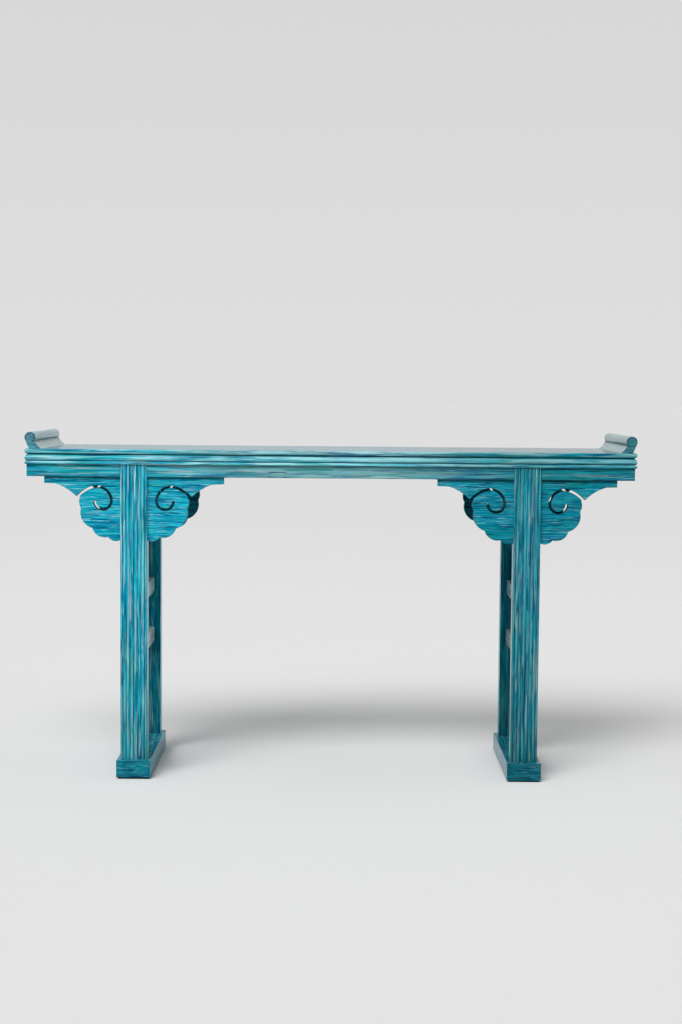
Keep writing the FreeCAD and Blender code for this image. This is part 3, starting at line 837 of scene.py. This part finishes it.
def apron_shape(sizes):
    """The front apron, with the housings that the legs stand in."""
    front = APRON_LOW.y
    back = APRON_HIGH.y
    half_run = APRON_HIGH.x
    inner_run = half_run - (back - front)
    housing = BOARD_FRONT - sizes.joint_gap / 2
    gap = sizes.joint_gap
    corners = [(-half_run, front)]
    for start, end in ((-LEG_HIGH.x - gap, -LEG_LOW.x + gap), (LEG_LOW.x - gap, LEG_HIGH.x + gap)):
        corners += [(start, front), (start, housing), (end, housing), (end, front)]
    corners += [(half_run, front), (inner_run, back), (-inner_run, back)]
    shape = apron_board(corners, sizes.board_round, ALONG_X)
    # Painted shade, near black, on the rounded top and bottom front edges
    gather_glaze_and_shade(shape, lambda point: 1.0 if front + SAME_PLACE < point.y < housing else 0.0)
    return shape


def end_apron_shape(sizes):
    """The apron across the right end, mitred to the long ones."""
    low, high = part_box("apron_end_right")
    thick = high.x - low.x
    corners = ((high.x, low.y), (high.x, high.y), (low.x, high.y - thick), (low.x, low.y + thick))
    shape = apron_board(corners, sizes.board_round, ALONG_Y)
    # Painted shade, near black, on the rounded top and bottom edges of the outer face
    gather_glaze_and_shade(shape, lambda point: 1.0 if low.x + thick / 2 < point.x < high.x - SAME_PLACE else 0.0)
    return shape


def flange_shape(sizes):
    """The right flange: a heel inside the end, a roll over it and a cove on the inside."""
    shape = bmesh.new()
    front = FLANGE_LOW.y
    rise = FLANGE_HIGH.z - TOP
    radius = sizes.roll_radius
    centre = Vector((HALF_LENGTH - radius, front, TOP + rise - radius))
    heel = Vector((HALF_LENGTH - sizes.flange_heel, front, TOP))
    toe = Vector((FLANGE_LOW.x, front, TOP))
    spoke = centre - heel
    lean = math.asin(radius / spoke.length) + math.atan2(spoke.x, spoke.z)
    run_up = math.sqrt(spoke.length_squared - radius ** 2)
    meeting = heel + Vector((math.sin(lean), 0, math.cos(lean))) * run_up
    neck = centre + Vector((-math.sqrt(radius ** 2 - sizes.neck_drop ** 2), 0, -sizes.neck_drop))
    crown = centre + Vector((0, 0, radius))
    base = centre - Vector((0, 0, radius))
    cove = toe - neck
    bottom = (neck + toe) / 2 + Vector((cove.z, 0, -cove.x)) * -COVE_SHARE

    pen = Pen(shape, meeting, ALONG_Y)
    pen.round_to(crown, neck)
    pen.round_to(base, meeting)
    roll = pen.close()
    pen = Pen(shape, heel, ALONG_Y)
    pen.straight(meeting)
    pen.round_to(base, neck)
    pen.round_to(bottom, toe)
    body = pen.close()
    bmesh.ops.remove_doubles(shape, verts=shape.verts, dist=SAME_PLACE)
    sweep(shape, [roll, body], ALONG_Y * (-2 * front))
    bmesh.ops.recalc_face_normals(shape, faces=shape.faces)
    roll_ends = [
        face for face in shape.faces
        if across_end(face) and (face.calc_center_median() - centre).cross(ALONG_Y).length < radius / 2
    ]
    for face in roll_ends:
        outward = face.normal.copy()
        bmesh.ops.inset_region(shape, faces=[face], thickness=sizes.ring_width, use_even_offset=True)
        sweep(shape, [face], outward * sizes.boss_rise)

    # Painted shade, near black round the foot of the raised roll end and darker along the crease under the
    # roll
    def crease_and_ring_shade(point):
        in_ring = math.hypot(point.x - centre.x, point.z - centre.z) < radius - sizes.ring_width / 2
        on_end = abs(abs(point.y) + front) < SAME_PLACE
        from_neck = math.hypot(point.x - neck.x, point.z - neck.z)
        return 1.0 if in_ring and on_end else CREASE_SHADE * (1.0 - from_neck / sizes.crease_width)

    gather_glaze_and_shade(shape, crease_and_ring_shade)
    return shape


class ALTAR_TABLE_OT_rails(bpy.types.Operator):
    """Model the four moulded rails of the top"""

    bl_idname = "altar_table.rails"
    bl_label = "Moulded rails"
    bl_options = {"REGISTER", "UNDO"}

    def execute(self, context):
        sizes = context.scene.altar_table_sizes
        hidden = inward_shade_paint()
        for side, name in ((1, "front"), (-1, "back")):
            shape = rail_shape(sizes, HALF_LENGTH, HALF_DEPTH)
            flip(shape, 1, side)
            over = top_paint("Rail top " + name, "X", 5.1)
            # Crest and worn middle also lay painted highlights along the beads
            paint = brushed_paint("Rail " + name, "X", 1.3 + side, long=1.2, wide=0.8, crest=0.65,
                                  worn_middle_and_highlight=0.15, blueness=-0.03)
            finish_piece(shape, "top_rail_" + name, paint, hidden, over, chosen=under_or_over)
        for side, name in ((1, "left"), (-1, "right")):
            shape = rail_shape(sizes, HALF_DEPTH, HALF_LENGTH)
            turn = Matrix.Rotation(-side * math.pi / 2, 3, "Z")
            bmesh.ops.rotate(shape, verts=shape.verts, cent=(0, 0, 0), matrix=turn)
            over = top_paint("Rail top " + name, "Y", 6.1)
            # Crest also lays painted highlights along the beads
            paint = brushed_paint("Rail " + name, "Y", 2.9 + side, crest=0.6)
            finish_piece(shape, "top_end_" + name, paint, hidden, over, chosen=under_or_over)
        return {"FINISHED"}


class ALTAR_TABLE_OT_panel(bpy.types.Operator):
    """Model the floating panel and the battens under it"""

    bl_idname = "altar_table.panel"
    bl_label = "Panel and battens"
    bl_options = {"REGISTER", "UNDO"}

    def execute(self, context):
        sizes = context.scene.altar_table_sizes
        hidden = inward_shade_paint()
        inner_x = HALF_LENGTH - RAIL_WIDTH - sizes.joint_gap
        inner_y = HALF_DEPTH - RAIL_WIDTH - sizes.joint_gap
        shape = bar(Vector((-inner_x, -inner_y, PANEL_UNDER)), Vector((inner_x, inner_y, TOP)))
        soften(shape, sizes.seam_round, 2)
        finish_piece(shape, "top_panel", top_paint("Panel", "X", 5.1), hidden, chosen=facing_down)
        for number in range(1, 5):
            node = "batten_" + str(number)
            low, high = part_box(node)
            low.y, high.y = -inner_y, inner_y
            high.z = PANEL_UNDER
            shape = bar(low, high)
            soften(shape, sizes.bar_round, 3, runs_along(ALONG_Y))
            # Painted shade over the whole of each batten
            finish_piece(shape, node, brushed_paint("Painted shade across", "Y", 43.0, shade=0.32, pale=0.3))
        return {"FINISHED"}


class ALTAR_TABLE_OT_flanges(bpy.types.Operator):
    """Model the scrolled flanges at both ends of the top"""

    bl_idname = "altar_table.flanges"
    bl_label = "Scrolled flanges"
    bl_options = {"REGISTER", "UNDO"}

    def execute(self, context):
        sizes = context.scene.altar_table_sizes
        # Grey worn paint that is partly a painted reflection of the sheen at a grazing angle
        paint = brushed_paint("Flange", "Y", 9.4, tone=0.08, wear_and_sheen=0.5, shade=1.05, gloss=WAXED_GLOSS)
        end_paint = brushed_paint("Flange end", "X", 10.6, long=0.25, wide=0.7, tone=-0.03, shade=0.8,
                                  pale=0.5, wear_and_sheen=0.15)
        for side, name in ((1, "right"), (-1, "left")):
            shape = flange_shape(sizes)
            flip(shape, side, 1)
            finish_piece(shape, "flange_" + name, paint, end_paint, chosen=across_end)
        return {"FINISHED"}


class ALTAR_TABLE_OT_aprons(bpy.types.Operator):
    """Model the four aprons under the rails"""

    bl_idname = "altar_table.aprons"
    bl_label = "Aprons"
    bl_options = {"REGISTER", "UNDO"}

    def execute(self, context):
        sizes = context.scene.altar_table_sizes
        hidden = inward_shade_paint()
        for side, name in ((1, "front"), (-1, "back")):
            shape = apron_shape(sizes)
            flip(shape, 1, side)
            paint = brushed_paint("Apron " + name, "X", 12.2 + side, long=1.3, wear_and_sheen=0.03, worn_middle_and_highlight=0.3,
                                  shade=0.86, blueness=-0.04)
            finish_piece(shape, "apron_" + name, paint, hidden, chosen=facing_in)
        for side, name in ((1, "right"), (-1, "left")):
            shape = end_apron_shape(sizes)
            flip(shape, side, 1)
            finish_piece(shape, "apron_end_" + name, brushed_paint("Apron end", "Y", 14.8))
        return {"FINISHED"}


class ALTAR_TABLE_OT_legs(bpy.types.Operator):
    """Model the four reeded legs"""

    bl_idname = "altar_table.legs"
    bl_label = "Reeded legs"
    bl_options = {"REGISTER", "UNDO"}

    def execute(self, context):
        sizes = context.scene.altar_table_sizes
        # Painted shade on the faces of the legs that look inward
        hidden = brushed_paint("Painted shade upright", "Z", 47.0, shade=0.46, pale=0.8)
        for number, (depth, side, side_x, side_y) in enumerate(CORNERS):
            shape = leg_shape(sizes)
            flip(shape, side_x, side_y)
            name = "Leg " + depth + " " + side
            # Painted shade toward the floor on the front legs
            paint = brushed_paint(name, "Z", 16.1 + 2 * number, long=1.1, wide=0.95, crest=0.35, pale=1.4,
                                  shade=1.08, low=1.0 if depth == "back" else 0.58, blueness=-0.02)
            finish_piece(shape, "leg_" + depth + "_" + side, paint, hidden, chosen=facing_in)
        return {"FINISHED"}


class ALTAR_TABLE_OT_spandrels(bpy.types.Operator):
    """Model the eight pierced cloud spandrels"""

    bl_idname = "altar_table.spandrels"
    bl_label = "Cloud spandrels"
    bl_options = {"REGISTER", "UNDO"}

    def execute(self, context):
        sizes = context.scene.altar_table_sizes
        hidden = inward_shade_paint()
        for depth, side, side_x, side_y in CORNERS:
            paint = brushed_paint("Spandrel " + depth, "X", 25.4 + side_y, long=0.65, wide=0.6, pale=0.15,
                                  blueness=0.01)
            for position in ("outer", "inner"):
                shape = spandrel_shape(sizes)
                if position == "inner":
                    flip(shape, -1, 1)
                    bmesh.ops.translate(shape, verts=shape.verts, vec=(2 * LEG_X, 0, 0))
                flip(shape, side_x, side_y)
                node = "_".join(("spandrel", depth, side, position))
                finish_piece(shape, node, paint, hidden, chosen=facing_in)
        return {"FINISHED"}


class ALTAR_TABLE_OT_stretchers(bpy.types.Operator):
    """Model the two stretchers at each end"""

    bl_idname = "altar_table.stretchers"
    bl_label = "Stretchers"
    bl_options = {"REGISTER", "UNDO"}

    def execute(self, context):
        sizes = context.scene.altar_table_sizes
        # Grey worn paint that is partly a painted reflection of the sheen at a grazing angle
        paint = brushed_paint("Stretcher", "Y", 29.3, tone=0.06, wear_and_sheen=0.68, shade=1.25, gloss=WAXED_GLOSS)
        for side in ("right", "left"):
            for level in ("lower", "upper"):
                node = "stretcher_" + side + "_" + level
                low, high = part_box(node)
                low.y, high.y = LEG_BACK, -LEG_BACK
                shape = bar(low, high)
                soften(shape, sizes.bar_round, 4, runs_along(ALONG_Y))
                finish_piece(shape, node, paint)
        return {"FINISHED"}


class ALTAR_TABLE_OT_feet(bpy.types.Operator):
    """Model the two runner feet"""

    bl_idname = "altar_table.feet"
    bl_label = "Runner feet"
    bl_options = {"REGISTER", "UNDO"}

    def execute(self, context):
        sizes = context.scene.altar_table_sizes
        paint = brushed_paint("Foot", "Y", 31.8, long=0.8, wide=0.7, shade=0.9)
        end_paint = brushed_paint("Foot end", "X", 33.2, long=0.45, wide=0.8, shade=0.63, pale=0.1,
                                  blueness=0.04)

        def over_the_base(edge):
            return min(vert.co.z for vert in edge.verts) > FOOT_LOW.z - SAME_PLACE and any(
                vert.co.z > FOOT_LOW.z + sizes.foot_round for vert in edge.verts
            )

        for side in ("right", "left"):
            node = "foot_" + side
            shape = bar(*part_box(node))
            soften(shape, sizes.foot_round, 4, over_the_base)
            finish_piece(shape, node, paint, end_paint, chosen=across_end)
        return {"FINISHED"}


class ALTAR_TABLE_OT_pads(bpy.types.Operator):
    """Model the felt pads under the feet"""

    bl_idname = "altar_table.pads"
    bl_label = "Felt pads"
    bl_options = {"REGISTER", "UNDO"}

    def execute(self, context):
        sizes = context.scene.altar_table_sizes
        felt = felt_material()
        for depth, side, _, _ in CORNERS:
            node = "_".join(("foot_pad", depth, side))
            shape = bar(*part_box(node))
            soften(shape, sizes.felt_round, 3)
            finish_piece(shape, node, felt, slot="felt")
        return {"FINISHED"}


class ALTAR_TABLE_OT_stage(bpy.types.Operator):
    """Set the floor, the backdrop, the lamps and the camera"""

    bl_idname = "altar_table.stage"
    bl_label = "Stage"
    bl_options = {"REGISTER", "UNDO"}

    def execute(self, context):
        stage = context.scene.altar_table_stage
        self.lay_floor(stage)
        self.light_world(context.scene, stage)
        for number in range(stage.key_count):
            steps = number - (stage.key_count - 1) / 2
            toward = Vector(stage.toward_key) + steps * Vector(stage.key_step)
            toward += steps ** 2 * Vector(stage.key_bend)
            strength = stage.key / stage.key_count
            self.hang_lamp(context.scene, "Key " + str(number), strength, stage.key_spread, toward)
        self.hang_lamp(context.scene, "Top light", stage.top_light, stage.top_spread, stage.toward_top)
        self.place_camera(context.scene, stage)
        context.scene.view_settings.view_transform = "Standard"
        return {"FINISHED"}

    def lay_floor(self, stage):
        shape = bmesh.new()
        middle = Matrix.Translation((0, stage.floor_radius - stage.floor_front, 0))
        bmesh.ops.create_circle(shape, cap_ends=True, segments=192, radius=stage.floor_radius, matrix=middle)
        mesh = bpy.data.meshes.new("Floor")
        shape.to_mesh(mesh)
        shape.free()
        material = bpy.data.materials.new("Floor")
        wiring = bare_wiring(material)
        place = wiring.add("ShaderNodeTexCoord", {}).outputs["Object"]
        distance = wiring.add("ShaderNodeVectorMath", {0: place}, operation="LENGTH").outputs["Value"]
        far = wiring.between(distance, *FLOOR_REACH)
        shade = wiring.blend(far, opaque(stage.floor_near), opaque(stage.floor_far))
        surface = wiring.add("ShaderNodeBsdfDiffuse", {"Color": shade})
        clear = wiring.add("ShaderNodeBsdfTransparent", {})
        side = wiring.add("ShaderNodeNewGeometry", {})
        mixed = wiring.add(
            "ShaderNodeMixShader", {0: side.outputs["Backfacing"], 1: surface.outputs[0], 2: clear.outputs[0]}
        )
        wiring.add("ShaderNodeOutputMaterial", {"Surface": mixed.outputs[0]})
        mesh.materials.append(material)
        floor = bpy.data.objects.new("Floor", mesh)
        bpy.context.scene.collection.objects.link(floor)

    def light_world(self, scene, stage):
        world = bpy.data.worlds.new("Studio")
        wiring = bare_wiring(world)
        rays = wiring.add("ShaderNodeLightPath", {})
        direction = wiring.add("ShaderNodeTexCoord", {}).outputs["Generated"]
        parts = wiring.add("ShaderNodeSeparateXYZ", {0: direction}).outputs
        height = parts["Z"]
        behind = wiring.between(parts["Y"], -0.4, 0.2)
        seen = wiring.maths("MULTIPLY", rays.outputs["Is Glossy Ray"], behind)
        seen = wiring.maths("MAXIMUM", seen, rays.outputs["Is Camera Ray"])
        seen = wiring.maths("MAXIMUM", seen, rays.outputs["Is Transmission Ray"])
        backdrop = wiring.blend(wiring.between(height, 0.0, 0.25), opaque(stage.near), opaque(stage.far))
        backdrop = wiring.blend(wiring.between(height, 0.0, -0.1), backdrop, opaque(stage.under))
        strength = wiring.between(height, -0.3, 0.0, stage.even_light / 10, stage.even_light)
        walls = wiring.between(wiring.maths("ABSOLUTE", parts["X"], 0.0), 0.5, 0.85, 1.0, stage.wall_light)
        strength = wiring.maths("MULTIPLY", strength, walls)
        even = wiring.add("ShaderNodeBackground", {"Color": (1, 1, 1, 1), "Strength": strength})
        shown = wiring.add("ShaderNodeBackground", {"Color": backdrop, "Strength": 1.0})
        mixed = wiring.add("ShaderNodeMixShader", {0: seen, 1: even.outputs[0], 2: shown.outputs[0]})
        wiring.add("ShaderNodeOutputWorld", {"Surface": mixed.outputs[0]})
        scene.world = world

    def hang_lamp(self, scene, name, strength, spread, toward):
        light = bpy.data.lights.new(name, "SUN")
        light.energy = strength
        light.angle = spread
        lamp = bpy.data.objects.new(name, light)
        lamp.rotation_euler = Vector(toward).to_track_quat("Z", "Y").to_euler()
        scene.collection.objects.link(lamp)

    def place_camera(self, scene, stage):
        lens = bpy.data.cameras.new("Camera")
        lens.sensor_fit = "VERTICAL"
        lens.sensor_height = 36.0
        lens.lens = stage.camera_lens
        lens.clip_end = 3 * stage.floor_radius
        camera = bpy.data.objects.new("Camera", lens)
        camera.matrix_world = (
            Matrix.Translation(stage.camera_place)
            @ Matrix.Rotation(math.pi / 2 - stage.camera_tilt, 4, "X")
            @ Matrix.Rotation(stage.camera_roll, 4, "Z")
        )
        scene.collection.objects.link(camera)
        scene.camera = camera


OPERATORS = (
    ALTAR_TABLE_OT_stage,
    ALTAR_TABLE_OT_rails,
    ALTAR_TABLE_OT_panel,
    ALTAR_TABLE_OT_flanges,
    ALTAR_TABLE_OT_aprons,
    ALTAR_TABLE_OT_legs,
    ALTAR_TABLE_OT_spandrels,
    ALTAR_TABLE_OT_stretchers,
    ALTAR_TABLE_OT_feet,
    ALTAR_TABLE_OT_pads,
)


class ALTAR_TABLE_PT_pieces(bpy.types.Panel):
    """Lists the pieces of the altar table"""

    bl_idname = "ALTAR_TABLE_PT_pieces"
    bl_label = "Altar Table"
    bl_space_type = "VIEW_3D"
    bl_region_type = "UI"
    bl_category = "Altar Table"

    def draw(self, context):
        column = self.layout.column()
        for operator in OPERATORS:
            column.operator(operator.bl_idname)


GROUPS = (
    ("altar_table_sizes", AltarTableSizes),
    ("altar_table_colours", AltarTableColours),
    ("altar_table_stage", AltarTableStage),
)
CLASSES = (*(group for name, group in GROUPS), *OPERATORS, ALTAR_TABLE_PT_pieces)


def register():
    for kind in CLASSES:
        bpy.utils.register_class(kind)
    for name, group in GROUPS:
        setattr(bpy.types.Scene, name, PointerProperty(type=group))


def unregister():
    for name, group in GROUPS:
        delattr(bpy.types.Scene, name)
    for kind in reversed(CLASSES):
        bpy.utils.unregister_class(kind)


def main():
    register()
    bpy.ops.altar_table.stage()
    bpy.ops.altar_table.rails()
    bpy.ops.altar_table.panel()
    bpy.ops.altar_table.flanges()
    bpy.ops.altar_table.aprons()
    bpy.ops.altar_table.legs()
    bpy.ops.altar_table.spandrels()
    bpy.ops.altar_table.stretchers()
    bpy.ops.altar_table.feet()
    bpy.ops.altar_table.pads()


if __name__ == "__main__":
    main()
